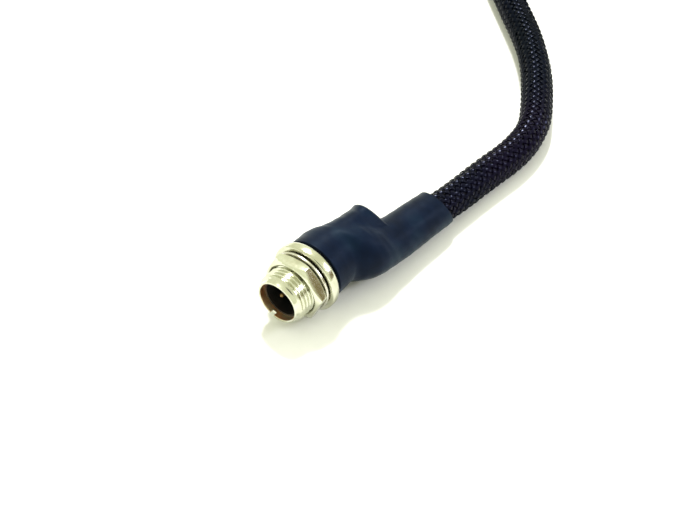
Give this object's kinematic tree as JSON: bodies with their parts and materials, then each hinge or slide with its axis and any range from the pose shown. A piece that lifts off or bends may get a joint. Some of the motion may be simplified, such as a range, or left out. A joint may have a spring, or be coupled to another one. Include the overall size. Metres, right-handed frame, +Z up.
{
  "type": "circular panel connector on a braided lead",
  "caption": "Threaded round panel receptacle with hex nut, washer and flange, shrink boot and braided cable ending in a matching in-line plug.",
  "frame": {"origin": "on the table under the middle of the connector with its boot, cable and plug left out", "axes": "+X along the connector from its mouth to its cable, +Z up"},
  "size_m": [0.2593, 0.096, 0.0333],
  "materials": {
    "nickel": "bright nickel plate over brass, light turning marks",
    "nut_nickel": "bright nickel plate, softly rounded corners",
    "washer_steel": "plated steel, faint rolling marks",
    "spring_steel": "bare spring steel",
    "black_insulator": "moulded black thermoset, slightly dull",
    "gold_contact": "gold flash over brass",
    "tinned_copper": "tinned strands wetted with solder",
    "thin_shrink": "thin shrink sleeve",
    "wire_red": "soft insulation",
    "wire_black": "soft insulation",
    "wire_white": "soft insulation",
    "wire_violet": "soft insulation",
    "shrink_tube": "matte blue-black shrink tube with faint wrinkles",
    "braided_sleeve": "open braid of shiny black monofilament over the wires",
    "hook_strap": "hook-and-loop strap, looped face out"
  },
  "bodies": {
    "connector": {"receptacle_shell": "nickel", "contact_insert": "black_insulator", "insert_lining": "black_insulator", "retaining_ring": "spring_steel", "contact_pin_1": "gold_contact", "contact_pin_2": "gold_contact", "contact_pin_3": "gold_contact", "contact_pin_4": "gold_contact", "soldered_strands": "tinned_copper", "joint_sleeves": "thin_shrink", "wire_1": "wire_red", "wire_2": "wire_black", "wire_3": "wire_white", "wire_4": "wire_violet", "boot_front": "shrink_tube", "boot_rear": "shrink_tube", "cable_lead": "braided_sleeve", "cable_coil": "braided_sleeve", "coil_strap_1": "hook_strap", "coil_strap_2": "hook_strap", "cable_tail": "braided_sleeve", "plug_body": "nickel", "plug_ring_clip": "spring_steel", "plug_insert": "black_insulator", "plug_contacts": "gold_contact", "plug_wires": "wire_black", "plug_cap": "nickel", "plug_cap_screw": "spring_steel", "plug_boot": "shrink_tube"},
    "washer": {"panel_washer": "washer_steel"},
    "nut": {"hex_nut": "nut_nickel"},
    "coupling_ring": {"plug_coupling_ring": "nickel"}
  },
  "joints": [
    {"name": "washer_travel", "type": "slide", "parent": "connector", "child": "washer", "axis": [1, 0, 0], "range_m": [-0.0035, 0.00033]},
    {"name": "nut_turn", "type": "hinge", "parent": "washer", "child": "nut", "pos_m": [-0.01809, 0.0019, 0.0084], "axis": [1, 0, 0], "range_deg": [-1260, 120]},
    {"name": "coupling_ring_turn", "type": "hinge", "parent": "connector", "child": "coupling_ring", "pos_m": [0.22222, 0.0416, 0.02485], "axis": [0.6947, -0.7193, 0], "continuous": true}
  ],
  "couplings": [
    {"joint": "nut_turn", "follows": "washer_travel", "rad_per_m": 6283.2}
  ]
}
